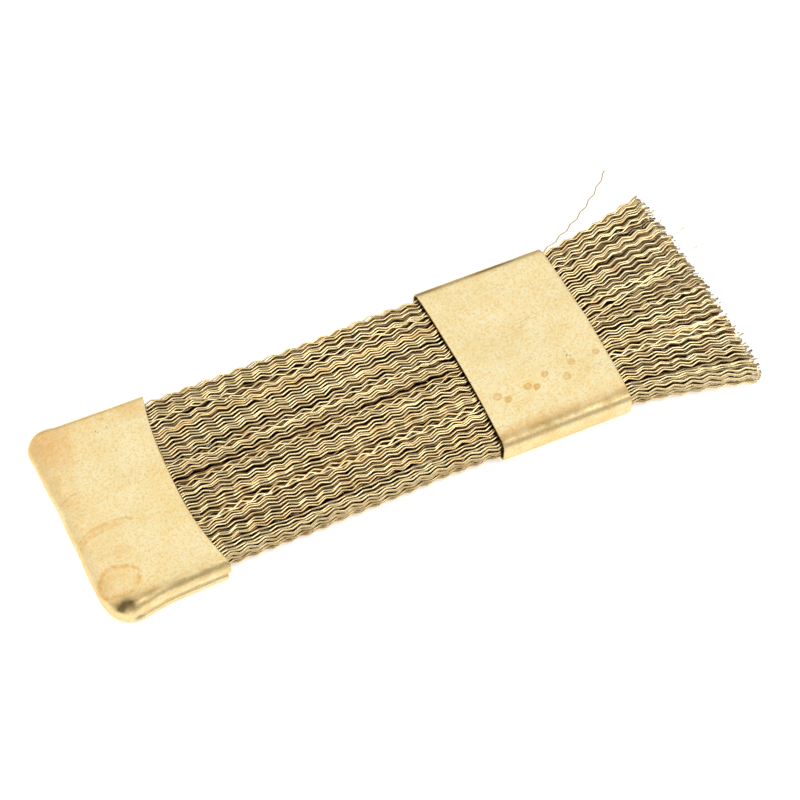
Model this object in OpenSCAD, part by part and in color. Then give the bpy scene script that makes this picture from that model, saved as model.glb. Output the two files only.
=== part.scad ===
// Flat brass wire brush for cleaning soldering iron tips.
// +X runs from the closed cap to the wire tips, +Z is up. The cap and the sleeve rest on z = 0.

/* [Overall] */
// Length from the cap's closed end to the wire tips
length = 60; // [50:0.5:80]

/* [End cap] */
// Length of the drawn cap along the brush
cap_len = 10.5; // [8:0.5:16]
// Width of the cap
cap_w = 18.4; // [14:0.1:24]
// Thickness of the cap
cap_t = 2.7; // [2.4:0.05:4]
// Wall of the cap
cap_wall = 0.4; // [0.3:0.05:0.45]
// Radius of the closed corners seen from above
cap_corner_r = 1.6; // [1:0.1:3]
// Radius of the long edges
cap_edge_r = 0.9; // [0.5:0.05:1.1]
// Depth of the crimp pressed into each side
crimp_depth = 0.2; // [0.05:0.05:0.25]

/* [Sleeve] */
// Distance from the cap's closed end to the sleeve
sleeve_x = 36.2; // [30:0.1:44]
// Length of the sleeve along the brush
sleeve_len = 12.2; // [8:0.1:16]
// Width of the sleeve
sleeve_w = 17.6; // [14:0.1:24]
// Thickness of the sleeve
sleeve_t = 2.8; // [2.6:0.05:4]
// Sheet thickness of the sleeve
sleeve_wall = 0.35; // [0.25:0.05:0.4]
// Outside bend radius of the sleeve
sleeve_edge_r = 0.8; // [0.5:0.05:1.2]
// Width of the butt seam under the sleeve
seam_w = 0.12; // [0.05:0.01:0.4]

/* [Wires] */
// Diameter of the space one crimped wire fills
wire_d = 0.28; // [0.2:0.01:0.4]
// Distance between wire centres across the brush
wire_pitch = 0.26; // [0.2:0.01:0.4]
// Wires side by side in one tuft
tuft_cols = 6; // [3:1:10]
// Layers of wire in the bundle
wire_rows = 7; // [3:1:9]
// Thickness of the whole bundle
bundle_t = 1.8; // [1.4:0.05:2.4]
// Space between neighbouring tufts
tuft_gap = 0.3; // [0.25:0.01:0.5]
// Tufts from the middle of the brush to one edge
side_tufts = 4; // [2:1:4]

/* [Fan] */
// Distance from the sleeve's outer mouth back to where the tufts turn
pivot_back = 6; // [2:0.5:8]
// Half of the space left at the turning point
pivot_gap = 0.25; // [0.1:0.05:0.5]
// Curvature of the outermost tuft, per millimetre
fan_curve = 0.021; // [0.001:0.001:0.024]
// How much shorter each tuft is than the one inside it
tip_step = 0.1; // [0:0.05:0.3]

/* [Quality] */
// Fineness of round faces
$fn = 48; // [24:8:96]

/* [Hidden] */
e = 0.01;
x0 = -length / 2;
cap_mouth_x = x0 + cap_len;
sleeve_x0 = x0 + sleeve_x;
pivot_x = sleeve_x0 + sleeve_len - pivot_back;
tip_x = x0 + length;
bundle_z = cap_t / 2;
tuft_w = (tuft_cols - 1) * wire_pitch + wire_d;
tuft_pitch = tuft_w + tuft_gap;
row_pitch = (bundle_t - wire_d) / (wire_rows - 1);
root_x0 = x0 + cap_wall + 0.6;
free_len = tip_x - pivot_x;
cap_in_w = cap_w - 2 * cap_wall;
cap_in_t = cap_t - 2 * cap_wall;
sleeve_in_w = sleeve_w - 2 * sleeve_wall;
sleeve_in_t = sleeve_t - 2 * sleeve_wall;
brass_cap = [0.84, 0.66, 0.32];
brass_sleeve = [0.86, 0.70, 0.38];
brass_wire = [0.72, 0.58, 0.28];

// Rounded rectangle whose corners are true arcs.
module round_rect(w, h, r) {
  square([w - 2 * r, h], center = true);
  square([w, h - 2 * r], center = true);
  for (sx = [-1, 1], sy = [-1, 1])
    translate([sx * (w / 2 - r), sy * (h / 2 - r)])
      circle(r = r);
}

// Section across one tuft: wires side by side round a filled middle.
module tuft_section() {
  square([tuft_w - wire_d, bundle_t - wire_d], center = true);
  for (c = [0 : tuft_cols - 1], side = [-1, 1])
    translate([c * wire_pitch - (tuft_w - wire_d) / 2, side * (bundle_t - wire_d) / 2])
      circle(d = wire_d);
  for (r = [1 : wire_rows - 2], side = [-1, 1])
    translate([side * (tuft_w - wire_d) / 2, r * row_pitch - (bundle_t - wire_d) / 2])
      circle(d = wire_d);
}

// Extrudes a section along X from its own origin.
module along_x(len) {
  rotate([90, 0, 90])
    linear_extrude(height = len)
      children();
}

// A block with rounded closed corners and rounded long edges, open end flat.
module cap_block(len, w, t, corner_r, edge_r) {
  intersection() {
    along_x(len)
      round_rect(w, t, edge_r);
    translate([0, 0, -t])
      linear_extrude(height = 2 * t) {
        translate([corner_r, -w / 2])
          square([len, w]);
        translate([0, -w / 2 + corner_r])
          square([corner_r + e, w - 2 * corner_r]);
        for (s = [-1, 1])
          translate([corner_r, s * (w / 2 - corner_r)])
            circle(r = corner_r);
      }
    rotate([90, 0, 0])
      linear_extrude(height = w + 2, center = true) {
        translate([edge_r, -t / 2])
          square([len, t]);
        translate([0, -t / 2 + edge_r])
          square([edge_r + e, t - 2 * edge_r]);
        for (s = [-1, 1])
          translate([edge_r, s * (t / 2 - edge_r)])
            circle(r = edge_r);
      }
  }
}

module end_cap() {
  groove_r = 0.45;
  color(brass_cap)
    translate([x0, 0, cap_t / 2])
      difference() {
        cap_block(cap_len, cap_w, cap_t, cap_corner_r, cap_edge_r);
        translate([cap_wall, 0, 0])
          cap_block(cap_len, cap_in_w, cap_in_t, cap_corner_r - cap_wall, cap_edge_r - cap_wall);
        for (s = [-1, 1])
          translate([cap_corner_r + 1, s * (cap_w / 2 + groove_r - crimp_depth), 0])
            rotate([0, 90, 0])
              cylinder(r = groove_r, h = cap_len);
      }
}

module slide_sleeve() {
  color(brass_sleeve)
    translate([sleeve_x0, 0, sleeve_t / 2])
      along_x(sleeve_len)
        difference() {
          round_rect(sleeve_w, sleeve_t, sleeve_edge_r);
          round_rect(sleeve_in_w, sleeve_in_t, sleeve_edge_r - sleeve_wall);
          translate([-seam_w / 2, -sleeve_t])
            square([seam_w, sleeve_t]);
        }
}

// Wires from inside the cap to the turning point. i counts tufts from the middle.
module root_tuft(i) {
  color(brass_wire)
    translate([root_x0, i * tuft_pitch, bundle_z])
      along_x(pivot_x - pivot_gap - root_x0)
        tuft_section();
}

// Wires from the turning point to the tip, bent outwards in an arc.
module tip_tuft(i) {
  curve = fan_curve * abs(i) / side_tufts;
  reach = free_len - abs(i) * tip_step;
  color(brass_wire)
    translate([pivot_x, i * tuft_pitch, bundle_z])
      if (i == 0)
        translate([pivot_gap, 0, 0])
          along_x(reach - pivot_gap)
            tuft_section();
      else
        mirror([0, i < 0 ? 1 : 0, 0])
          rotate([0, 0, -curve / 2 * pivot_back * 180 / PI])
            translate([0, 1 / curve, 0])
              rotate([0, 0, -90 + pivot_gap * curve * 180 / PI])
                rotate_extrude(angle = (reach - pivot_gap) * curve * 180 / PI)
                  translate([1 / curve, 0])
                    tuft_section();
}

end_cap();
slide_sleeve();
root_tuft(0);  // root_tuft_mid
root_tuft(1);  // root_tuft_l1
root_tuft(2);  // root_tuft_l2
root_tuft(3);  // root_tuft_l3
root_tuft(4);  // root_tuft_l4
root_tuft(-1);  // root_tuft_r1
root_tuft(-2);  // root_tuft_r2
root_tuft(-3);  // root_tuft_r3
root_tuft(-4);  // root_tuft_r4
tip_tuft(0);  // tip_tuft_mid
tip_tuft(1);  // tip_tuft_l1
tip_tuft(2);  // tip_tuft_l2
tip_tuft(3);  // tip_tuft_l3
tip_tuft(4);  // tip_tuft_l4
tip_tuft(-1);  // tip_tuft_r1
tip_tuft(-2);  // tip_tuft_r2
tip_tuft(-3);  // tip_tuft_r3
tip_tuft(-4);  // tip_tuft_r4
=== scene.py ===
import math
import random

import bpy
import numpy as np
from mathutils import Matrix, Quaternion, Vector


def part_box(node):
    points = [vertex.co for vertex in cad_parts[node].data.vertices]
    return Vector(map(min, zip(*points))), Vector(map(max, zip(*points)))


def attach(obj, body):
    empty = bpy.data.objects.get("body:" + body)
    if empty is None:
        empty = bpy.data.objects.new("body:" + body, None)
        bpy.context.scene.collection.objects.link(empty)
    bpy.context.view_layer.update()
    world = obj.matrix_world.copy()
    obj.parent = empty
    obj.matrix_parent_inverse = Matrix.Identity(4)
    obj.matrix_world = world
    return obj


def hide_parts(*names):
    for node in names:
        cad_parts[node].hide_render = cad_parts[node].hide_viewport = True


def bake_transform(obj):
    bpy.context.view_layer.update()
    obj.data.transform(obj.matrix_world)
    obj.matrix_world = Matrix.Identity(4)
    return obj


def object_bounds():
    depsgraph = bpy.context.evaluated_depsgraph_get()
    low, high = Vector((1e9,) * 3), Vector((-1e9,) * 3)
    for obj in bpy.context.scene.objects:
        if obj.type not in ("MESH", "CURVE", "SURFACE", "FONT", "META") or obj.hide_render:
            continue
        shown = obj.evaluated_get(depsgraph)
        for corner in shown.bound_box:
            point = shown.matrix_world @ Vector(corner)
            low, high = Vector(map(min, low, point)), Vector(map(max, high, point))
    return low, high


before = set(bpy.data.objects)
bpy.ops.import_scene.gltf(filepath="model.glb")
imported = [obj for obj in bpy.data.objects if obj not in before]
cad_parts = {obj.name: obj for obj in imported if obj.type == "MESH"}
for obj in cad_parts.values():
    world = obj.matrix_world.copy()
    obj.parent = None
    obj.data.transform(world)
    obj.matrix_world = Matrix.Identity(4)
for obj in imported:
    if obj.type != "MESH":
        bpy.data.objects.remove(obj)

MM = 0.001
CAD_LOW, CAD_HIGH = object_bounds()

# ---------------------------------------------------------------- places taken from the frame
CAP_LOW, CAP_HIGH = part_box("end_cap")
SLEEVE_LOW, SLEEVE_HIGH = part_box("slide_sleeve")
ROOT_LOW, ROOT_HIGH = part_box("root_tuft_mid")
CAP_MOUTH = CAP_HIGH.x
CAP_END = CAP_LOW.x - 0.4 * MM  # the drawn end bulges a little past the plain block
SLEEVE_MOUTH = SLEEVE_HIGH.x
TIP_X = CAD_HIGH.x
BUNDLE_MID_Z = (ROOT_LOW.z + ROOT_HIGH.z) / 2
BUNDLE_TOP_Z = ROOT_HIGH.z
BUNDLE_HALF_T = (ROOT_HIGH.z - ROOT_LOW.z) / 2 + 0.04 * MM
BUNDLE_SHIFT = 0.10 * MM       # the bundle and the sleeve lie a little to the far side

# ---------------------------------------------------------------- the look's own sizes
SHEET = 0.22 * MM              # thickness of the cap's and the sleeve's brass
WIRE_R = 0.090 * MM
COLUMNS_PER_TUFT = 6
WIRE_ROWS = 8
WIRE_CEILING = SLEEVE_HIGH.z - SHEET - WIRE_R - 0.09 * MM  # keeps wires under the sleeve's top
WIRE_FLOOR = SLEEVE_LOW.z + SHEET + WIRE_R
CRIMP_PITCH = 1.6 * MM
CRIMP_SWING = 0.15 * MM        # half of the crimp's width from side to side
BUNDLE_HALF_W = 8.32 * MM      # centre of the outermost wires
TIP_FLARE = 2.2 * MM           # how far the outermost tips stand out beyond the bundle
SIDE_TUFTS = 4
WATER_MARKS = 8
SLEEVE_SKEW = -0.016           # the loose sleeve sits slightly askew
SLEEVE_EXTRA_W = 0.20 * MM     # how much wider the drawn sleeve is than its plain block, at each side
CAP_EXTRA_W = 0.30 * MM        # the same for the cap
CAP_SWELL = 0.22 * MM          # further widening towards the cap's closed end
CAP_NEAR_BULGE = 0.42 * MM     # further bulge of the cap's near side
CAP_MOUTH_HOLLOW = 1.15 * MM   # how far the edge of the cap's mouth curves in
UNDER_CAP_ROOM = 0.16 * MM     # keeps wires off the cap's inner faces
BURIED_THICKER = 1.35          # buried wires are drawn thicker, to fill the gaps between rows


# ================================================================ small helpers
def mesh_object(name, points, faces):
    """A mesh object from numpy points and a list of faces."""
    mesh = bpy.data.meshes.new(name)
    mesh.from_pydata([tuple(p) for p in points], [], faces)
    mesh.validate()
    mesh.polygons.foreach_set("use_smooth", [True] * len(mesh.polygons))
    mesh.update()
    obj = bpy.data.objects.new(name, mesh)
    bpy.context.scene.collection.objects.link(obj)
    return obj


def point_attribute(obj, name, values):
    """Stores one number per vertex, for the materials to read."""
    layer = obj.data.attributes.new(name, "FLOAT", "POINT")
    layer.data.foreach_set("value", np.asarray(values, np.float32))


def smoothstep(a, b, x):
    t = np.clip((x - a) / (b - a), 0, 1)
    return t * t * (3 - 2 * t)


def soft_noise(x, y, seed, pitch):
    """Smooth noise of about -1 to 1 over two coordinates, from a few crossed waves."""
    r = random.Random(seed)
    total = np.zeros(np.broadcast(x, y).shape)
    for _ in range(5):
        a = r.uniform(0, 2 * math.pi)
        k = 2 * math.pi / pitch * r.uniform(0.6, 1.5)
        total = total + np.sin(k * (x * math.cos(a) + y * math.sin(a)) + r.uniform(0, 2 * math.pi))
    return total / 3


# ================================================================ node materials
class Nodes:
    """Short names for the nodes that these materials use."""

    def __init__(self, name):
        self.material = bpy.data.materials.new(name)
        self.material.use_nodes = True
        self.tree = self.material.node_tree
        self.shader = self.tree.nodes["Principled BSDF"]

    def link(self, a, b):
        self.tree.links.new(a, b)

    def node(self, kind, **inputs):
        n = self.tree.nodes.new(kind)
        for key, value in inputs.items():
            self.feed(n.inputs[key.replace("_", " ")], value)
        return n

    def feed(self, socket, value):
        if isinstance(value, bpy.types.NodeSocket):
            self.link(value, socket)
        else:
            socket.default_value = value

    def place(self):
        return self.node("ShaderNodeTexCoord").outputs["Object"]

    def attribute(self, name):
        n = self.node("ShaderNodeAttribute")
        n.attribute_name = name
        return n.outputs["Fac"]

    def scaled(self, vector, scale, turn=0.0):
        n = self.node("ShaderNodeMapping", Vector=vector, Scale=scale)
        n.inputs["Rotation"].default_value = (0, 0, turn)
        return n.outputs["Vector"]

    def noise(self, vector, scale, detail=4.0, rough=0.55):
        return self.node("ShaderNodeTexNoise", Vector=vector, Scale=scale, Detail=detail,
                         Roughness=rough).outputs["Fac"]

    def cells(self, vector, scale):
        return self.node("ShaderNodeTexVoronoi", Vector=vector, Scale=scale,
                         Randomness=1.0).outputs["Distance"]

    def span(self, value, low, high, to_low=0.0, to_high=1.0):
        n = self.node("ShaderNodeMapRange")
        n.interpolation_type = "SMOOTHSTEP"
        self.feed(n.inputs["Value"], value)
        for key, number in (("From Min", low), ("From Max", high), ("To Min", to_low), ("To Max", to_high)):
            n.inputs[key].default_value = number
        return n.outputs["Result"]

    def math(self, op, a, b=0.0):
        n = self.node("ShaderNodeMath")
        n.operation = op
        self.feed(n.inputs[0], a)
        self.feed(n.inputs[1], b)
        return n.outputs[0]

    def mix(self, factor, a, b, mode="MIX"):
        n = self.node("ShaderNodeMix")
        n.data_type = "RGBA"
        n.blend_type = mode
        self.feed(n.inputs["Factor"], factor)
        self.feed(n.inputs["A"], a)
        self.feed(n.inputs["B"], b)
        return n.outputs["Result"]

    def bump(self, height, strength, depth):
        n = self.node("ShaderNodeBump", Height=height, Strength=strength, Distance=depth)
        return n.outputs["Normal"]


PALE_BRASS = (0.87, 0.78, 0.49, 1)
WARM_BRASS = (0.86, 0.68, 0.32, 1)
ORANGE_TARNISH = (0.74, 0.40, 0.11, 1)
GOLD_SPECK = (0.80, 0.50, 0.12, 1)
# olive colour of the painted shade: dark bands along the bends, the dark corner patch and the inner faces
PAINTED_OLIVE_SHADE = (0.26, 0.20, 0.08, 1)
MARK_GOLD = (0.66, 0.34, 0.05, 1)
# brown for pits, specks and scratches, also used for the deepest painted shade
PIT_AND_SHADE_BROWN = (0.13, 0.07, 0.025, 1)
# dark brown of the painted shade on buried wires, darkening the gaps between wires
WIRE_GAP_SHADE = (0.07, 0.020, 0.004, 1)


def stain_distance(m, place, stain):
    """Distance from a stain's middle, where 1 is its outline. Its ends bend aside by bow."""
    centre, length, width, turn, bow = stain
    moved = m.node("ShaderNodeVectorMath")
    moved.operation = "SUBTRACT"
    m.feed(moved.inputs[0], place)
    moved.inputs[1].default_value = centre
    turned = m.node("ShaderNodeVectorRotate", Vector=moved.outputs[0], Angle=-math.radians(turn))
    turned.rotation_type = "Z_AXIS"
    sized = m.node("ShaderNodeVectorMath")
    sized.operation = "MULTIPLY"
    m.link(turned.outputs[0], sized.inputs[0])
    sized.inputs[1].default_value = (1 / length, 1 / width, 0)
    part = m.node("ShaderNodeSeparateXYZ", Vector=sized.outputs[0]).outputs
    along = m.math("MULTIPLY", part["X"], part["X"])
    across = m.math("ADD", part["Y"], m.math("MULTIPLY", along, bow / width))
    return m.math("SQRT", m.math("ADD", along, m.math("MULTIPLY", across, across)))


def sheet_brass(name, warmth, spots=(), rings=(), smears=(), scratches=()):
    """Worn sheet brass: mottled colour, tarnish in the bends, fine scratches, specks, water marks and painted
    shade.
    """
    m = Nodes(name)
    place = m.place()
    top = m.span(m.node("ShaderNodeSeparateXYZ", Vector=place).outputs["Z"], BUNDLE_MID_Z, BUNDLE_TOP_Z)
    fine = m.noise(place, 9500, 2)
    mottle = m.noise(place, 2400, 4, 0.65)
    patch = m.noise(place, 420, 5, 0.62)
    broad = m.noise(place, 130, 3)
    colour = m.mix(m.span(patch, 0.35, 0.72, 0.0, 0.6), PALE_BRASS, WARM_BRASS)
    colour = m.mix(m.span(broad, 0.62 - warmth, 1.0 - warmth, 0.0, 0.8), colour, WARM_BRASS)
    colour = m.mix(m.span(mottle, 0.46, 0.68, 0.0, 0.65), colour, WARM_BRASS)
    colour = m.mix(m.span(m.noise(place, 4600, 3, 0.7), 0.48, 0.64, 0.0, 0.60), colour, GOLD_SPECK)
    colour = m.mix(m.span(m.noise(place, 3000, 3, 0.65), 0.32, 0.46, 0.22, 0.0), colour, ORANGE_TARNISH)
    grain = m.noise(m.scaled(place, (260, 5200, 5200)), 1.0, 4, 0.7)
    colour = m.mix(m.span(grain, 0.50, 0.80, 0.0, 0.25), colour, ORANGE_TARNISH)
    colour = m.mix(m.span(fine, 0.56, 0.76, 0.0, 0.30), colour, ORANGE_TARNISH)
    # tarnish from the bend attribute; on the sleeve's near bend this tint is also painted shade over a
    # highlight
    tarnish = m.math("MULTIPLY", m.attribute("bend"), m.span(patch, 0.25, 0.7, 0.35, 1.0))
    colour = m.mix(m.math("MULTIPLY", tarnish, 0.55), colour, ORANGE_TARNISH)
    # painted shade: the shade attribute turns the brass olive, and its deepest parts brown
    shaded = m.math("MULTIPLY", m.attribute("shade"), m.span(patch, 0.2, 0.65, 0.55, 1.0))
    colour = m.mix(m.math("MULTIPLY", shaded, 0.85), colour, PAINTED_OLIVE_SHADE)
    colour = m.mix(m.span(m.attribute("shade"), 0.65, 1.0, 0.0, 0.6), colour, PIT_AND_SHADE_BROWN)
    pits = m.span(m.cells(place, 1300), 0.0, 0.11, 1.0, 0.0)
    pits = m.math("MULTIPLY", pits, m.span(m.noise(place, 380, 2), 0.54, 0.66))
    colour = m.mix(m.math("MULTIPLY", pits, 0.7), colour, PIT_AND_SHADE_BROWN)
    specks = m.math("MULTIPLY", m.span(m.cells(place, 3800), 0.05, 0.20, 0.75, 0.0), m.attribute("bend"))
    specks = m.math("MULTIPLY", specks, m.span(mottle, 0.40, 0.62))
    colour = m.mix(specks, colour, PIT_AND_SHADE_BROWN)
    for centre, radius, strength in spots:
        d = stain_distance(m, place, (centre, radius, radius * 0.9, 20, 0))
        d = m.math("ADD", d, m.span(mottle, 0.3, 0.7, -0.22, 0.22))
        ring = m.math("MULTIPLY", m.span(d, 0.30, 0.90, 0.7, 1.0), m.span(d, 0.9, 1.35, 1.0, 0.0))
        ring = m.math("MULTIPLY", ring, m.span(fine, 0.35, 0.60, 0.5, 1.0))
        colour = m.mix(m.math("MULTIPLY", m.math("MULTIPLY", ring, strength), top), colour, MARK_GOLD)
    for stain, fill in rings:
        d = m.math("ADD", stain_distance(m, place, stain), m.span(patch, 0.2, 0.8, -0.13, 0.13))
        ring = m.math("MULTIPLY", m.span(d, 0.72, 0.97), m.span(d, 0.97, 1.12, 1.0, 0.0))
        ring = m.math("MAXIMUM", ring, m.span(d, 0.9, 1.0, fill, 0.0))
        patchy = m.math("MULTIPLY", m.span(mottle, 0.3, 0.6), top)
        ring = m.math("MULTIPLY", m.math("MULTIPLY", ring, 0.8), patchy)
        colour = m.mix(ring, colour, ORANGE_TARNISH)
    for stain, strength in smears:
        d = m.math("ADD", stain_distance(m, place, stain), m.span(patch, 0.2, 0.8, -0.35, 0.35))
        smear = m.math("MULTIPLY", m.span(d, 0.2, 1.0, strength, 0.0), m.span(mottle, 0.2, 0.6, 0.5, 1.0))
        colour = m.mix(m.math("MULTIPLY", smear, top), colour, ORANGE_TARNISH)
    for stain in scratches:
        d = stain_distance(m, place, stain)
        line = m.math("MULTIPLY", m.span(d, 0.4, 1.0, 0.6, 0.0), m.span(fine, 0.3, 0.6, 0.3, 1.0))
        colour = m.mix(m.math("MULTIPLY", line, top), colour, PIT_AND_SHADE_BROWN)
    m.link(colour, m.shader.inputs["Base Color"])
    m.shader.inputs["Metallic"].default_value = 1.0
    rough = m.span(patch, 0.3, 0.75, 0.30, 0.44)
    rough = m.math("ADD", rough, m.span(grain, 0.4, 0.8, 0.0, 0.12))
    rough = m.math("ADD", rough, m.math("MULTIPLY", shaded, 0.30))
    rough = m.math("ADD", rough, m.math("MULTIPLY", m.attribute("bend"), 0.15))
    m.link(rough, m.shader.inputs["Roughness"])
    scratch = m.noise(m.scaled(place, (120, 9000, 9000), 0.05), 1.0, 2, 0.5)
    lines = m.noise(m.scaled(place, (9000, 300, 300), 0.4), 1.0, 2, 0.5)
    height = m.math("ADD", m.math("MULTIPLY", scratch, 0.5), m.math("MULTIPLY", fine, 0.6))
    height = m.math("ADD", height, m.math("MULTIPLY", lines, 0.15))
    height = m.math("ADD", height, m.math("MULTIPLY", mottle, 1.2))
    height = m.math("SUBTRACT", height, pits)
    m.link(m.bump(height, 0.45, 0.000012), m.shader.inputs["Normal"])
    return m.material


def wire_brass():
    """Drawn brass wire: each wire has its own tint, and the buried ones get painted shade from the depth
    attribute.
    """
    m = Nodes("wire_brass")
    place = m.place()
    tint = m.attribute("tint")
    depth = m.attribute("depth")
    spots = m.noise(place, 700, 4, 0.6)
    colour = m.mix(m.math("POWER", tint, 2.0), (0.96, 0.81, 0.47, 1), (0.85, 0.63, 0.29, 1))
    colour = m.mix(m.span(spots, 0.50, 0.75, 0.0, 0.45), colour, ORANGE_TARNISH)
    # painted shade: the depth attribute darkens the buried wires to dark brown
    colour = m.mix(m.math("MULTIPLY", depth, 0.95), colour, WIRE_GAP_SHADE)
    m.link(colour, m.shader.inputs["Base Color"])
    m.shader.inputs["Metallic"].default_value = 1.0
    m.shader.inputs["Specular Tint"].default_value = (0.85, 0.55, 0.30, 1)
    m.link(m.span(spots, 0.3, 0.8, 0.20, 0.36), m.shader.inputs["Roughness"])
    drawn = m.noise(m.scaled(place, (2500, 30000, 30000)), 1.0, 2)
    m.link(m.bump(drawn, 0.2, 0.000004), m.shader.inputs["Normal"])
    return m.material


# ================================================================ sheet metal shapes
def rounded_ring(half_w, half_h, radius, along_top=44, along_side=12, round_steps=8):
    """Points (y, z) round a rounded rectangle, from the middle of the +y side, over the top, and back.

    Point i and point count - i mirror each other in z.
    """
    half = []
    flat_h = half_h - radius
    flat_w = half_w - radius
    for k in range(along_side):
        half.append((half_w, flat_h * k / along_side))
    for k in range(round_steps):
        a = math.pi / 2 * k / round_steps
        half.append((flat_w + radius * math.cos(a), flat_h + radius * math.sin(a)))
    for k in range(along_top + 1):
        half.append((flat_w * (1 - 2 * k / along_top), half_h))
    for k in range(1, round_steps + 1):
        a = math.pi / 2 * k / round_steps
        half.append((-flat_w - radius * math.sin(a), flat_h + radius * math.cos(a)))
    for k in range(1, along_side + 1):
        half.append((-half_w, flat_h * (1 - k / along_side)))
    lower = [(y, -z) for y, z in half[-2:0:-1]]
    return np.array(half + lower)


def ring_faces(first, second, count):
    """Quads between two closed rings whose points start at first and second."""
    return [(first + i, first + (i + 1) % count, second + (i + 1) % count, second + i) for i in range(count)]


def cap_points(x, inset, mid_z):
    """One ring of the cap at x, inset by so much from its outer surface at that place."""
    half_w = (CAP_HIGH.y - CAP_LOW.y) / 2
    half_h = (CAP_HIGH.z - CAP_LOW.z) / 2
    back = x - (CAP_END + inset)

    def pull(reach, size):
        """How far a rounded end has drawn in, where the rounding starts at reach from the end."""
        reach, size = reach - inset, size - inset
        t = min(max(back / reach, 0), 1)
        return size * (1 - math.sqrt(1 - (1 - t) ** 2))

    swell = CAP_SWELL * float(smoothstep(CAP_MOUTH, CAP_LOW.x, np.array(x))) + CAP_EXTRA_W
    toward_end = float(smoothstep(CAP_LOW.x + 5.5 * MM, CAP_LOW.x + 1.5 * MM, np.array(x)))
    near_bulge = CAP_NEAR_BULGE * toward_end
    far_w = half_w + swell - inset - pull(1.7 * MM, 1.6 * MM)
    near_w = half_w + swell + near_bulge - inset - pull(2.8 * MM, 3.3 * MM)
    h = half_h - inset - pull(2.0 * MM, 1.24 * MM)
    ring = rounded_ring((far_w + near_w) / 2, h, min(0.75 * MM - inset * 0.8, h * 0.96))
    y = ring[:, 0] + (far_w - near_w) / 2
    return np.column_stack([np.full(len(ring), x), y, ring[:, 1] + mid_z])


def dent_cap(p):
    """Presses the crimp into the narrow sides, hollows the mouth's edge, and dents the faces a little."""
    x, y, z = p[:, 0], p[:, 1], p[:, 2]
    half_w = (CAP_HIGH.y - CAP_LOW.y) / 2
    mid_z = (CAP_HIGH.z + CAP_LOW.z) / 2
    side = np.sign(y)
    on_side = smoothstep(0.93, 1.01, np.abs(y) / half_w)
    run = smoothstep(CAP_LOW.x + 1.6 * MM, CAP_LOW.x + 2.6 * MM, x)
    crease_z = mid_z - 0.16 * MM + 0.10 * MM * smoothstep(CAP_LOW.x + 6 * MM, CAP_LOW.x + 2 * MM, x)
    valley = np.exp(-((z - crease_z) / (0.13 * MM)) ** 2)
    upper = smoothstep(crease_z, crease_z + 0.5 * MM, z)
    near = smoothstep(0, -1 * MM, y)
    scuff = 0.02 * near * soft_noise(x * 1.4, z * 2, 7, 2.2 * MM)
    y = y - side * on_side * run * (0.26 * valley + 0.12 * upper + scuff) * MM
    loop = np.hypot((x - CAP_LOW.x - 1.9 * MM) / 1.9, z - crease_z + 0.05 * MM) / (0.30 * MM)
    pinch = np.exp(-(loop / 0.6) ** 2) - 0.6 * np.exp(-((loop - 1.1) / 0.3) ** 2)
    y = y - side * on_side * near * 0.13 * MM * pinch
    top = smoothstep(mid_z, mid_z + 1.0 * MM, z)
    flat = smoothstep(1.0, 0.8, np.abs(y) / half_w)
    z = z + top * flat * (0.03 * soft_noise(x, y, 3, 7 * MM) - 0.05) * MM
    mouth = smoothstep(CAP_MOUTH - 3.2 * MM, CAP_MOUTH, x)
    face = smoothstep(0.6 * MM, 1.2 * MM, np.abs(z - mid_z))
    hollow = CAP_MOUTH_HOLLOW * (1 - np.clip(np.abs(y / half_w), 0, 1) ** 2.2) * face
    wave = 0.05 * MM * np.sin(y / (2.1 * MM) + 0.6)
    lower = smoothstep(mid_z, mid_z - 0.3 * MM, z) * smoothstep(0.85, 0.98, -y / half_w)
    x = x + mouth * (wave - hollow - 0.28 * MM * lower)
    closed = smoothstep(CAP_LOW.x + 3 * MM, CAP_LOW.x, x)
    x = x + closed * (0.10 * np.cos(y / (4.2 * MM)) - 0.10 + 0.05 * soft_noise(y, z, 11, 5 * MM)) * MM
    return np.column_stack([x, y, z])


def on_near(share):
    """1 on the near narrow side, fading on to the top."""
    return smoothstep(0.85, 1.0, -share)


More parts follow.
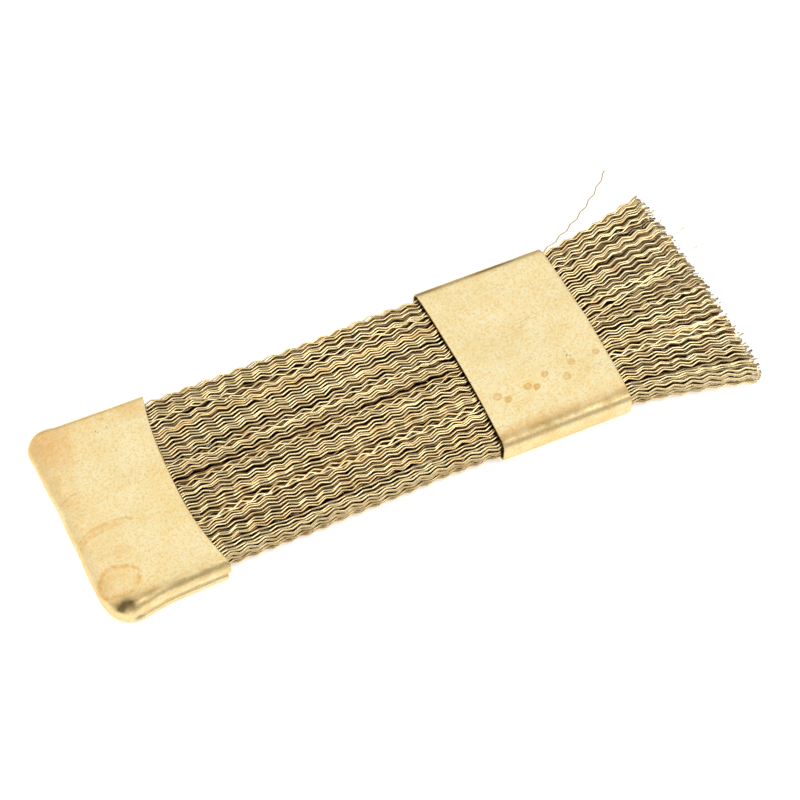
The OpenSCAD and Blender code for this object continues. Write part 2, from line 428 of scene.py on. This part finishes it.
def end_cap():
    """The drawn cup: outer skin, rolled mouth edge and inner skin, all one closed mesh."""
    mid_z = (CAP_HIGH.z + CAP_LOW.z) / 2
    lip = 0.07 * MM
    rounding = 3.0 * MM * (1 - np.cos(np.linspace(0, math.pi / 2, 26)))
    outer_x = list(CAP_END + rounding)
    outer_x += list(np.linspace(CAP_END + 3.15 * MM, CAP_MOUTH - lip, 50))
    rings = [cap_points(x, 0, mid_z) for x in outer_x]
    rings.append(cap_points(CAP_MOUTH - lip * 0.3, lip * 0.3, mid_z))
    rings.append(cap_points(CAP_MOUTH, SHEET * 0.5, mid_z))
    rings.append(cap_points(CAP_MOUTH - lip * 0.3, SHEET - lip * 0.3, mid_z))
    rings.append(cap_points(CAP_MOUTH - lip, SHEET, mid_z))
    inner_depth = CAP_MOUTH - lip - (CAP_END + SHEET)
    inner_back = inner_depth * (1 - np.sin(np.linspace(0, math.pi / 2, 20)))
    rings += [cap_points(CAP_END + SHEET + b, SHEET, mid_z) for b in inner_back[1:]]
    count = len(rings[0])
    points = dent_cap(np.concatenate(rings))
    faces = []
    for k in range(len(rings) - 1):
        faces += ring_faces(k * count, (k + 1) * count, count)
    last = (len(rings) - 1) * count
    half = count // 2
    for i in range(half):
        pair = (i, i + 1, count - i - 1, (count - i) % count)
        outer = [j for n, j in enumerate(pair) if j not in pair[:n]]
        faces.append(tuple(reversed(outer)))
        faces.append(tuple(last + j for j in outer))
    obj = mesh_object("cap_shell", points, faces)
    base = np.concatenate(rings)
    half_w = (CAP_HIGH.y - CAP_LOW.y) / 2
    share = base[:, 1] / half_w
    near_end = smoothstep(CAP_LOW.x + 2.6 * MM, CAP_LOW.x + 0.1 * MM, base[:, 0])
    far_corner = smoothstep(4.5 * MM, 0.5 * MM, np.hypot(base[:, 0] - CAP_LOW.x, base[:, 1] - half_w))
    far_edge = smoothstep(0.72, 1.0, share) * 0.7
    bends = [far_edge, far_corner * 0.9, near_end * 0.50, on_near(share) * 0.4]
    point_attribute(obj, "bend", np.maximum.reduce(bends))
    # painted shade kept in the shade attribute: a dark patch on top at the near closed corner, a dark band
    # along the near bend, and the whole inner skin
    high = smoothstep(mid_z + 0.25 * MM, mid_z + 0.85 * MM, base[:, 2])
    corner_x = (base[:, 0] - CAP_LOW.x - 1.2 * MM) / 1.35
    corner_y = (base[:, 1] - CAP_LOW.y + 0.15 * MM) / 0.85
    ragged = 0.85 + 0.25 * soft_noise(base[:, 0], base[:, 1], 41, 1.3 * MM)
    corner = np.exp(-(np.hypot(corner_x, corner_y) / (0.85 * MM)) ** 2) * ragged
    near_bend = np.exp(-((share + 1.0) / 0.04) ** 2) * 0.55
    inside = np.zeros(len(base))
    inside[(len(outer_x) + 3) * count:] = 1.0
    shades = [np.minimum(corner * 1.3, 1) * high, near_bend * high, inside]
    point_attribute(obj, "shade", np.maximum.reduce(shades))
    top_z = CAP_HIGH.z
    end, middle = CAP_LOW.x, CAP_LOW.y + half_w
    obj.data.materials.append(sheet_brass(
        "cap_brass", 0.20,
        rings=[(((end + 1.5 * MM, middle - 7.0 * MM, top_z), 1.9 * MM, 1.5 * MM, 0, 0), 0.15),
               (((end + 2.0 * MM, middle - 1.7 * MM, top_z), 2.9 * MM, 0.36 * MM, 8, 0.55 * MM), 0.45)],
        smears=[(((end + 1.4 * MM, middle + 7.2 * MM, top_z), 2.6 * MM, 3.2 * MM, 0, 0), 0.50),
                (((end + 2.6 * MM, middle - 4.4 * MM, top_z), 1.5 * MM, 0.9 * MM, 5, 0), 0.30)],
        scratches=[((end + 0.9 * MM, middle + 2.3 * MM, top_z), 1.5 * MM, 0.035 * MM, 8, 0.3 * MM)]
        + pit_cluster((end + 5.5 * MM, middle + 7.5 * MM, top_z), 4, 0.35 * MM, 2)))
    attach(obj, "brush_base")
    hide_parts("end_cap")


def sleeve_loop(half_w, half_h, radius, seam):
    """Points (y, z) round the sleeve's strip, from one seam edge under the sleeve to the other."""
    ring = rounded_ring(half_w, half_h, radius, along_top=52, along_side=6, round_steps=9)
    count = len(ring)
    bottom = count // 4 * 3
    order = [ring[(bottom + k) % count] for k in range(count + 1)]
    low = -half_h
    cut = [p for p in order if not (abs(p[0]) < seam * 2 and p[1] < low * 0.9)]
    if cut[0][0] > 0:
        return np.array([(seam, low)] + cut + [(-seam, low)])
    return np.array([(-seam, low)] + cut + [(seam, low)])


def dent_sleeve(p):
    """Bows both mouths, dents the top, and sets the sleeve a little askew."""
    x, y, z = p[:, 0], p[:, 1], p[:, 2]
    half_w = SLEEVE_HIGH.y
    mid_z = (SLEEVE_HIGH.z + SLEEVE_LOW.z) / 2
    mid_x = (SLEEVE_HIGH.x + SLEEVE_LOW.x) / 2
    top = smoothstep(mid_z, SLEEVE_HIGH.z, z)
    flat = smoothstep(1.0, 0.82, np.abs(y) / half_w)
    z = z + top * flat * (0.05 * soft_noise(x, y, 21, 8 * MM) - 0.03) * MM
    bow = 1 - (y / half_w) ** 2
    for mouth_x, depth in ((SLEEVE_LOW.x, 0.22 * MM), (SLEEVE_HIGH.x, 0.32 * MM)):
        near = np.exp(-np.abs(x - mouth_x) / (2.5 * MM))
        x = x + near * (depth * bow + 0.02 * MM * soft_noise(y, 0 * y, 31, 5 * MM))
    y = y + SLEEVE_SKEW * (x - mid_x) + BUNDLE_SHIFT
    return np.column_stack([x, y, z])


def slide_sleeve():
    """A strip bent into a flat tube with a butt seam below, its mouths lightly rounded."""
    half_w = SLEEVE_HIGH.y + SLEEVE_EXTRA_W
    half_h = (SLEEVE_HIGH.z - SLEEVE_LOW.z) / 2
    mid_z = (SLEEVE_HIGH.z + SLEEVE_LOW.z) / 2
    radius = 0.90 * MM
    seam = 0.06 * MM
    lip = 0.05 * MM
    outer = sleeve_loop(half_w, half_h, radius, seam)
    scale_w = (half_w - SHEET) / half_w
    inner = sleeve_loop(half_w - SHEET, half_h - SHEET, radius - SHEET, seam * scale_w)
    n = len(outer)
    middle = (outer + inner) / 2

    def station(x, shrink):
        out = middle + (outer - middle) * shrink
        inn = middle + (inner - middle) * shrink
        loop = np.concatenate([out, inn[::-1]])
        return np.column_stack([np.full(len(loop), x), loop[:, 0], loop[:, 1] + mid_z])

    low, high = SLEEVE_LOW.x, SLEEVE_HIGH.x
    xs = [(low, 0.55), (low + lip * 0.4, 0.85), (low + lip, 1.0)]
    xs += [(x, 1.0) for x in np.linspace(low + 0.25 * MM, high - 0.25 * MM, 42)]
    xs += [(high - lip, 1.0), (high - lip * 0.4, 0.85), (high, 0.55)]
    rings = [station(x, s) for x, s in xs]
    base = np.concatenate(rings)
    points = dent_sleeve(base)
    count = 2 * n
    faces = []
    for k in range(len(rings) - 1):
        faces += ring_faces(k * count, (k + 1) * count, count)
    last = (len(rings) - 1) * count
    for i in range(n - 1):
        faces.append((i, count - 1 - i, count - 2 - i, i + 1))
        faces.append((last + i, last + i + 1, last + count - 2 - i, last + count - 1 - i))
    obj = mesh_object("sleeve_shell", points, faces)
    share = np.abs(base[:, 1]) / half_w
    from_near = base[:, 1] - SLEEVE_LOW.y
    from_far = SLEEVE_HIGH.y - base[:, 1]
    shade_unevenness = 1 + 0.40 * soft_noise(base[:, 0], base[:, 1] * 3, 51, 6 * MM)
    # near_tint: an orange tint at the near bend, placed also to darken the bend's highlight, so partly
    # tarnish and partly painted shade
    near_tint = np.exp(-((from_near - 0.9 * MM) / (0.6 * MM)) ** 2)
    point_attribute(obj, "bend", np.maximum(smoothstep(0.86, 1.0, share) * 0.5, near_tint))
    # painted shade: a dark line along the far bend and an olive band along the near bend, painted in place of
    # dark reflections, and darker inner faces
    far_line = np.exp(-((from_far - 0.35 * MM) / (0.20 * MM)) ** 2) * shade_unevenness
    near_band = np.exp(-((from_near - 0.50 * MM) / (0.42 * MM)) ** 2) * 0.58 * shade_unevenness
    upper = smoothstep(mid_z, mid_z + 0.9 * MM, base[:, 2])
    inside = np.tile(np.concatenate([np.zeros(n), np.full(n, 0.8)]), len(rings))
    point_attribute(obj, "shade", np.maximum((far_line + near_band) * upper, inside))
    r = random.Random(9)
    scratches = pit_cluster((SLEEVE_HIGH.x - 3 * MM, -2.5 * MM, SLEEVE_HIGH.z), 5, 0.3 * MM, 6)
    for _ in range(5):
        spot = (r.uniform(SLEEVE_LOW.x, SLEEVE_HIGH.x), r.uniform(-0.6, 0.5) * half_w, SLEEVE_HIGH.z)
        scratches.append((spot, r.uniform(0.8, 2.4) * MM, r.uniform(0.02, 0.03) * MM, r.gauss(3, 9), 0))
    obj.data.materials.append(sheet_brass("sleeve_brass", 0.0, spots=water_marks(), scratches=scratches))
    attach(obj, "sleeve")
    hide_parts("slide_sleeve")


def water_marks():
    """Small golden stains, in a loose row along the near half of the sleeve's top."""
    r = random.Random(12)
    length, width = SLEEVE_HIGH.x - SLEEVE_LOW.x, SLEEVE_HIGH.y - SLEEVE_LOW.y
    marks = []
    for k in range(WATER_MARKS):
        along = (0.14 + 0.76 * k / (WATER_MARKS - 1) + r.uniform(-0.05, 0.05)) * length
        across = (0.24 + r.uniform(-0.05, 0.08)) * width
        place = (SLEEVE_LOW.x + along, SLEEVE_LOW.y + across, SLEEVE_HIGH.z)
        marks.append((place, r.uniform(0.28, 0.38) * MM, r.uniform(0.55, 1.0)))
    return marks


def pit_cluster(centre, count, spread, seed):
    """A few small dark pits close together."""
    r = random.Random(seed)
    pits = []
    for _ in range(count):
        place = (centre[0] + r.gauss(0, spread), centre[1] + r.gauss(0, spread * 0.6), centre[2])
        pits.append((place, r.uniform(0.09, 0.14) * MM, r.uniform(0.06, 0.09) * MM, r.uniform(0, 90), 0))
    return pits


# ================================================================ wires
def crimp_wave(u):
    """A zigzag of -1 to 1 with one period for each unit of u."""
    t = np.mod(u, 1.0)
    return np.where(t < 0.25, 4 * t, np.where(t < 0.75, 2 - 4 * t, 4 * t - 4))


def crimp_stations(x_start, x_end, phase):
    """Places along x where a crimped wire needs a ring: two at each corner of the zigzag."""
    first = math.ceil(x_start / CRIMP_PITCH + phase) - 1
    last = math.floor(x_end / CRIMP_PITCH + phase) + 1
    u = (np.arange(first, last + 1)[:, None] + np.array([0.2, 0.3, 0.7, 0.8])).ravel()
    x = (u - phase) * CRIMP_PITCH
    keep = (x > x_start + 0.1 * CRIMP_PITCH) & (x < x_end - 0.1 * CRIMP_PITCH)
    x = np.concatenate([[x_start], x[keep], [x_end]])
    return x, x / CRIMP_PITCH + phase


def tube(path, radius, sides):
    """Points and faces of a closed tube along a path."""
    tangent = np.gradient(path, axis=0)
    tangent /= np.linalg.norm(tangent, axis=1)[:, None]
    across = np.cross(tangent, (0, 0, 1.0))
    across /= np.linalg.norm(across, axis=1)[:, None]
    up = np.cross(across, tangent)
    a = 2 * math.pi * np.arange(sides) / sides
    sideways = np.cos(a)[None, :, None] * across[:, None, :]
    upwards = np.sin(a)[None, :, None] * up[:, None, :]
    points = (path[:, None, :] + radius * (sideways + upwards)).reshape(-1, 3)
    faces = []
    for k in range(len(path) - 1):
        here = k * sides
        ahead = here + sides
        for i in range(sides):
            j = (i + 1) % sides
            faces.append((here + i, ahead + i, ahead + j, here + j))
    last = (len(path) - 1) * sides
    faces.append(tuple(range(sides)))
    faces.append(tuple(last + i for i in reversed(range(sides))))
    return points, faces


def bundle_flare(x, share):
    """How far a wire has moved out at x. share is its place from the middle (0) to an edge (-1 or 1)."""
    beyond = np.clip((x - SLEEVE_MOUTH) / (TIP_X - SLEEVE_MOUTH), 0, 1.4)
    curve = 1.16 - 0.14 * share
    spread = TIP_FLARE + 0.2 * MM - 0.35 * MM * max(share, 0)
    near_cap = 0.10 * MM * np.exp(-np.clip(x - CAP_MOUTH, 0, None) / (3 * MM))
    belly = 0.10 * MM * np.exp(-((x - CAP_MOUTH - 6.5 * MM) / (5 * MM)) ** 2) * max(share, 0)
    lean = 0.16 * MM * np.exp(-((x - SLEEVE_LOW.x + 5 * MM) / (5 * MM)) ** 2)
    return share * (spread * beyond ** curve + near_cap) + belly + lean


def wander(x, rng, size, length):
    """A slow sideways drift along a wire."""
    return size * MM * np.sin(x / (length * MM) * 2 * math.pi + rng.uniform(0, 2 * math.pi))


def wire_path(column, row, rng):
    """Centre line of one crimped wire of the bundle."""
    columns = COLUMNS_PER_TUFT * (2 * SIDE_TUFTS + 1)
    pitch = 2 * BUNDLE_HALF_W / (columns - 1)
    share = 2 * column / (columns - 1) - 1
    level = 2 * row / (WIRE_ROWS - 1) - 1
    bunch_rng = random.Random(1000 * ((column + 3 * (row % 2)) // 5) + row)
    phase = 0.14 * math.sin(column * 0.16 + 0.8) + 0.08 * bunch_rng.uniform(-1, 1) + 0.02 * rng.uniform(-1, 1)
    loose = abs(share) ** 14
    phase += 0.25 * (rng.random() < 0.04) + 0.07 * (row % 2) + 0.26 * loose * rng.uniform(-1, 1)
    reach = TIP_X + (0.25 - 0.40 * share - 0.35 * share ** 2 + rng.gauss(-0.2, 0.15)) * MM
    x, u = crimp_stations(CAP_MOUTH - 1.9 * MM, reach, phase)
    x = np.concatenate([[CAP_LOW.x + 1.0 * MM], x])
    swing = CRIMP_SWING * crimp_wave(u) * rng.uniform(0.8, 1.15)
    swing = np.concatenate([[0], swing])
    tilt = math.radians(rng.gauss(0, 24))
    drift = wander(x, bunch_rng, 0.07, 11) + wander(x, bunch_rng, 0.05, 17)
    drift = drift + wander(x, rng, 0.035, 7) + wander(x, rng, 0.02, 4)
    if rng.random() < 0.07:
        middle = rng.uniform(CAP_MOUTH, TIP_X)
        drift = drift + rng.choice((-1, 1)) * 0.3 * MM * smoothstep(middle - 3 * MM, middle + 3 * MM, x)
    lift = wander(x, bunch_rng, 0.04, 9) + wander(x, rng, 0.03, 5)
    out = smoothstep(SLEEVE_MOUTH - 1 * MM, TIP_X, x)
    open_part = smoothstep(CAP_MOUTH - 1.6 * MM, CAP_MOUTH, x)
    inset = 0.05 * MM * abs(level) ** 3 * abs(share) ** 8 + 0.10 * MM * loose * rng.random()
    stagger = (0.25 if row % 2 else -0.25) * pitch
    y = BUNDLE_SHIFT + share * (BUNDLE_HALF_W - inset) + stagger + bundle_flare(x, share)
    bunching = 0.075 * MM * np.sin(share * 27 + 1.3 * np.sin(x / (5.5 * MM)) + 0.9 * row) * (1 - loose)
    y = y + (drift * (1 - 0.6 * abs(share) ** 6) + bunching + rng.uniform(-0.05, 0.05) * MM) * open_part
    y = y + swing * math.cos(tilt) + out ** 1.3 * (1 - 0.5 * loose) * rng.gauss(0, 0.25) * MM
    half_t = BUNDLE_HALF_T + 0.10 * MM * out
    taper = 1 - 0.14 * abs(share) ** 8
    z = BUNDLE_MID_Z + level * half_t * taper + swing * math.sin(tilt) + lift * open_part
    z = z + out ** 1.5 * rng.gauss(0, 0.10) * MM
    under_cap = UNDER_CAP_ROOM * smoothstep(CAP_MOUTH + 1 * MM, CAP_MOUTH, x)
    return np.column_stack([x, y, np.clip(z, WIRE_FLOOR + under_cap, WIRE_CEILING - under_cap)])


def loose_path(start, turn, length, rise, bow, swing, rng):
    """Centre line of a loose wire. turn is its angle from the brush's axis towards +Y, in degrees."""
    angle = math.radians(turn)
    direction = np.array([math.cos(angle), math.sin(angle), rise / length])
    sideways = np.array([-math.sin(angle), math.cos(angle), 0])
    s, u = crimp_stations(0.0, length, rng.random())
    t = s / length
    offset = swing * crimp_wave(u) + 4 * bow * t * (1 - t)
    return np.array(start) + direction * s[:, None] + sideways * offset[:, None]


def wire_y(x, share):
    """Where a wire lies across the bundle at x. share is -1 at the near edge and 1 at the far edge."""
    return BUNDLE_SHIFT + share * BUNDLE_HALF_W + float(bundle_flare(np.array(x), share))


def loose_wires(index, rng):
    """Paths and radius shares of the few wires of a tuft that lie across it or stick out."""
    share = index / (SIDE_TUFTS + 0.5)
    found = []

    def lay(start, thickness, **shape):
        found.append((loose_path(start, rng=rng, **shape), thickness))

    if index == SIDE_TUFTS - 1:
        x = CAP_MOUTH + 2 * MM
        lay((x, wire_y(x, 0.9), WIRE_CEILING), 0.75,
            turn=-25, length=9 * MM, rise=0, bow=0.3 * MM, swing=0.03 * MM)
    if index in (1, 2):
        x = TIP_X - 1 * MM
        lay((x, wire_y(x, share), WIRE_CEILING), 0.5,
            turn=18, length=2.5 * MM, rise=0, bow=0.1 * MM, swing=0.05 * MM)
    if index == 0:
        x = SLEEVE_MOUTH - 0.5 * MM
        lay((x, -0.5 * MM, WIRE_CEILING), 1.0,
            turn=15, length=11 * MM, rise=0, bow=0.2 * MM, swing=0.03 * MM)
    if index == -SIDE_TUFTS:
        x = TIP_X - 4 * MM
        lay((x, wire_y(x, -1), BUNDLE_MID_Z), 0.65,
            turn=-14, length=4.5 * MM, rise=0, bow=0, swing=0.12 * MM)
    return found


def stray_wire():
    """One long loose wire, caught under the sleeve's far edge and pointing away from the brush."""
    start = (SLEEVE_MOUTH - 0.7 * MM, SLEEVE_HIGH.y - 0.7 * MM, WIRE_CEILING)
    path = loose_path(start, turn=30, length=11.5 * MM, rise=0.4 * MM, bow=-0.7 * MM, swing=0.1 * MM,
                      rng=random.Random(3))
    points, faces = tube(path, WIRE_R * 0.75, 6)
    obj = mesh_object("stray_wire", points, faces)
    point_attribute(obj, "tint", np.full(len(points), 0.5))
    # its depth value darkens it a little, through the same mix as the buried wires' painted shade
    point_attribute(obj, "depth", np.full(len(points), 0.4))
    obj.data.materials.append(WIRE_MATERIAL)
    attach(obj, "sleeve")


def wire_tuft(index):
    """All the wires of one tuft, from inside the cap to their tips."""
    rng = random.Random(77 + index)
    points, faces, tint, depth = [], [], [], []
    total = 0
    first = (index + SIDE_TUFTS) * COLUMNS_PER_TUFT

    def add(path, radius, sides, colour, shade):
        nonlocal total
        p, f = tube(path, radius, sides)
        points.append(p)
        faces.extend([tuple(total + i for i in face) for face in f])
        toward_tip = smoothstep(SLEEVE_MOUTH, TIP_X, p[:, 0])
        tint.append(colour * (1 - 0.8 * toward_tip))
        depth.append(shade * (1 - 0.25 * toward_tip))
        total += len(p)

    for column in range(first, first + COLUMNS_PER_TUFT):
        for row in range(WIRE_ROWS):
            # depth is painted shade for buried wires, darkening the gaps between the top wires; the top row
            # gets only a little random dirt, and the outermost columns less shade
            buried = min(row, WIRE_ROWS - 1 - row) / (WIRE_ROWS / 2 - 1)
            edge = column in (0, COLUMNS_PER_TUFT * (2 * SIDE_TUFTS + 1) - 1)
            if buried == 0:
                dirt_and_shade = 0.35 * rng.random() ** 2
            elif edge:
                dirt_and_shade = 0.3 + 0.4 * rng.random()
            else:
                dirt_and_shade = 0.76 + 0.24 * buried
            sides = 6 if buried < 0.5 else 4
            radius = WIRE_R * rng.uniform(0.92, 1.06) * (BURIED_THICKER if buried > 0 else 1)
            add(wire_path(column, row, rng), radius, sides, rng.random(), dirt_and_shade)
    for path, thickness in loose_wires(index, rng):
        add(path, WIRE_R * thickness, 6, 0.2, 0.0)
    name = "mid" if index == 0 else ("l" if index > 0 else "r") + str(abs(index))
    obj = mesh_object("wires_" + name, np.concatenate(points), faces)
    point_attribute(obj, "tint", np.concatenate(tint))
    point_attribute(obj, "depth", np.concatenate(depth))
    obj.data.materials.append(WIRE_MATERIAL)
    if index == 0:
        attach(obj, "brush_base")
    else:
        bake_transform(obj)
    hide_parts("root_tuft_" + name, "tip_tuft_" + name)


# ================================================================ stage
def floor():
    """A plain white sheet under the brush."""
    size = 1.5
    corners = [(-size, -size, 0), (size, -size, 0), (size, size, 0), (-size, size, 0)]
    obj = mesh_object("floor", corners, [(0, 1, 2, 3)])
    obj.location.z = -0.02 * MM
    m = Nodes("floor_white")
    m.shader.inputs["Base Color"].default_value = (0.93, 0.93, 0.93, 1)
    m.shader.inputs["Roughness"].default_value = 0.9
    m.shader.inputs["Specular IOR Level"].default_value = 0.1
    m.shader.inputs["Emission Color"].default_value = (1, 1, 1, 1)
    m.shader.inputs["Emission Strength"].default_value = 0.5
    obj.data.materials.append(m.material)


def area_light(name, place, size, energy):
    """A white rectangular panel that faces the brush."""
    data = bpy.data.lights.new(name, "AREA")
    data.shape = "RECTANGLE"
    data.size, data.size_y = size
    data.energy = energy
    obj = bpy.data.objects.new(name, data)
    obj.location = place
    obj.rotation_mode = "QUATERNION"
    obj.rotation_quaternion = (-Vector(place)).to_track_quat("-Z", "Y")
    bpy.context.scene.collection.objects.link(obj)


def lights():
    """An even white room, a large back panel that the flat brass mirrors, a key and a left panel."""
    world = bpy.data.worlds.new("studio")
    world.use_nodes = True
    background = world.node_tree.nodes["Background"]
    background.inputs["Color"].default_value = (1, 1, 1, 1)
    background.inputs["Strength"].default_value = 0.5
    bpy.context.scene.world = world
    area_light("back_panel", place=(0.09, 0.15, 0.38), size=(0.70, 0.50), energy=0.68)
    area_light("top_key", place=(0.16, -0.13, 0.40), size=(0.23, 0.23), energy=0.56)
    area_light("left_panel", place=(-0.27, 0.19, 0.20), size=(0.40, 0.34), energy=0.26)


def camera():
    """A long lens, looking down on the brush from its near left side."""
    azimuth, elevation, roll = math.radians(-27.0), math.radians(56.5), math.radians(1.7)
    lens, distance = 135, 0.259
    target = Vector((0.00058, 0.0001, 0.0014))
    back = Vector((math.sin(azimuth) * math.cos(elevation), -math.cos(azimuth) * math.cos(elevation),
                   math.sin(elevation)))
    data = bpy.data.cameras.new("camera")
    data.lens = lens
    data.sensor_width = 36
    data.clip_start, data.clip_end = 0.01, 20
    obj = bpy.data.objects.new("camera", data)
    obj.rotation_mode = "QUATERNION"
    obj.location = target + back * distance
    turn = (-back).to_track_quat("-Z", "Y")
    obj.rotation_quaternion = turn @ Quaternion((0, 0, 1), roll)
    bpy.context.scene.collection.objects.link(obj)
    bpy.context.scene.camera = obj


camera()
lights()
floor()
bpy.context.scene.view_settings.view_transform = "Standard"
WIRE_MATERIAL = wire_brass()
end_cap()
slide_sleeve()
for tuft in range(-SIDE_TUFTS, SIDE_TUFTS + 1):
    wire_tuft(tuft)
stray_wire()
